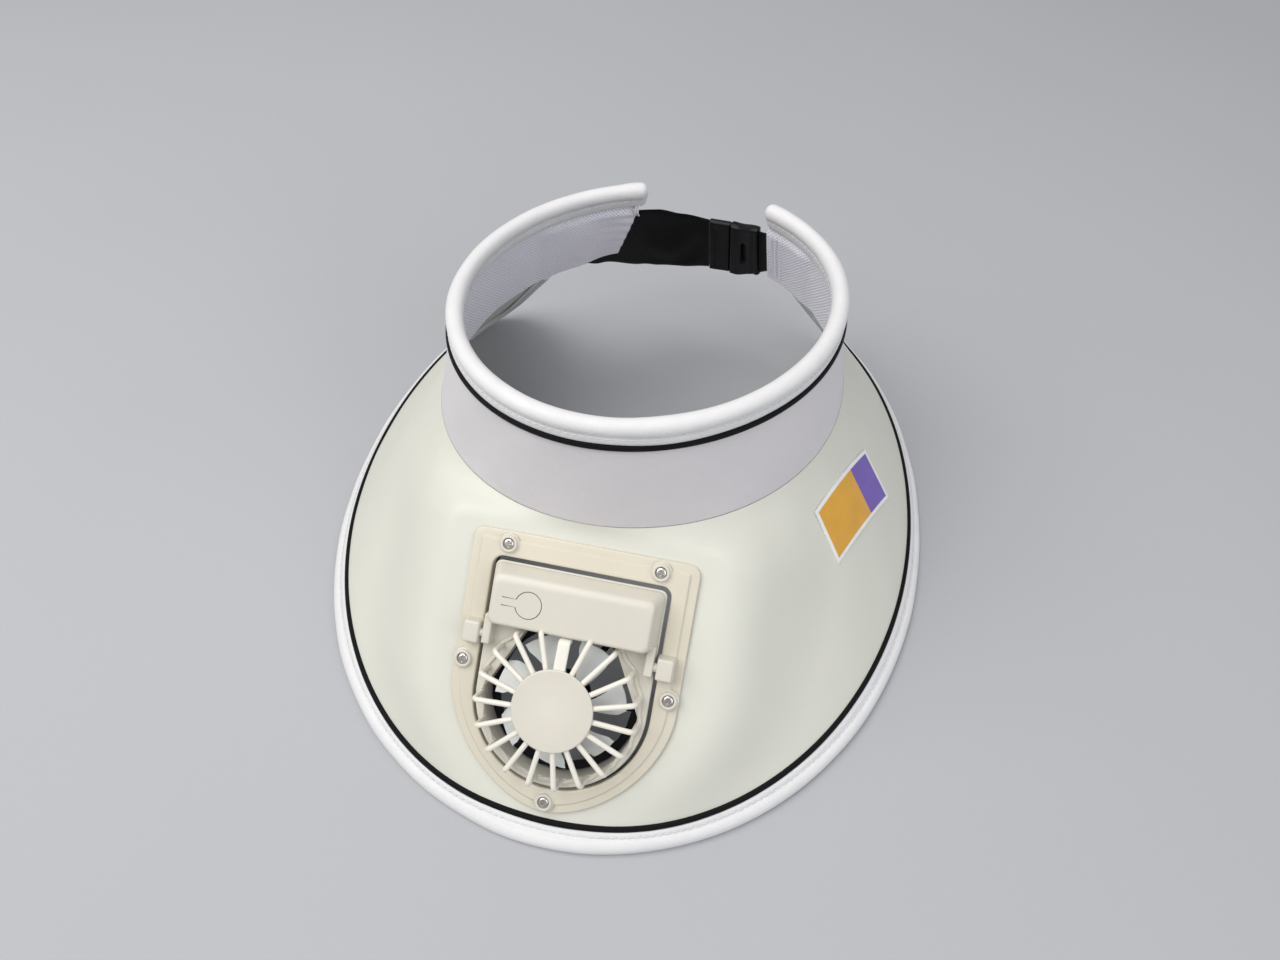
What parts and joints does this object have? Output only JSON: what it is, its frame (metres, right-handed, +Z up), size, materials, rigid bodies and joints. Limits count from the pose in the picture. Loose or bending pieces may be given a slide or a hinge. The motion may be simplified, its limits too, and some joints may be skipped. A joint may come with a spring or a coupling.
{
  "type": "fan sun hat",
  "caption": "Open-crown sun hat with a wide sloping brim, a padded head band, a strap with a buckle at the back and a tilting fan set into the front of the brim.",
  "frame": {"origin": "centre of the hat's box on the surface it rests on", "axes": "+Z up, the brim's front faces -Y, +X to the wearer's left"},
  "size_m": [0.3072, 0.3204, 0.1458],
  "materials": {
    "brim_cloth": "satin coated cloth",
    "band_cloth": "smooth cloth",
    "white_cloth": "padded smooth cloth",
    "mesh_cloth": "open mesh cloth",
    "black_cloth": "woven cloth",
    "black_plastic": "satin moulded",
    "cream_plastic": "satin moulded",
    "impeller_plastic": "slightly clear moulded",
    "screw_metal": "nickel plated",
    "motor_metal": "plain",
    "patch_print": "printed film"
  },
  "bodies": {
    "hat": {"brim_panel": "brim_cloth", "brim_binding": "white_cloth", "brim_piping": "black_cloth", "head_band": "band_cloth", "band_roll": "white_cloth", "band_piping": "black_cloth", "sweat_lining": "mesh_cloth", "back_strap": "black_cloth", "strap_tab": "black_cloth", "buckle_clip": "black_plastic", "buckle_socket": "black_plastic", "fan_frame": "cream_plastic", "clamp_ring": "cream_plastic", "label_patch": "patch_print", "screw_1": "screw_metal", "screw_2": "screw_metal", "screw_3": "screw_metal", "screw_4": "screw_metal", "screw_5": "screw_metal"},
    "pod": {"pod_shell": "cream_plastic", "pod_back": "cream_plastic", "fan_grille": "cream_plastic", "motor": "motor_metal"},
    "impeller": {"impeller": "impeller_plastic"}
  },
  "joints": [
    {"name": "pod_tilt", "type": "hinge", "parent": "hat", "child": "pod", "pos_m": [-0.00156, -0.09101, 0.05966], "axis": [1, 0, 0], "range_deg": [-30, 30]},
    {"name": "impeller_spin", "type": "hinge", "parent": "pod", "child": "impeller", "pos_m": [-0.00156, -0.1088, 0.04372], "axis": [0, -0.6025, 0.7982], "continuous": true}
  ]
}
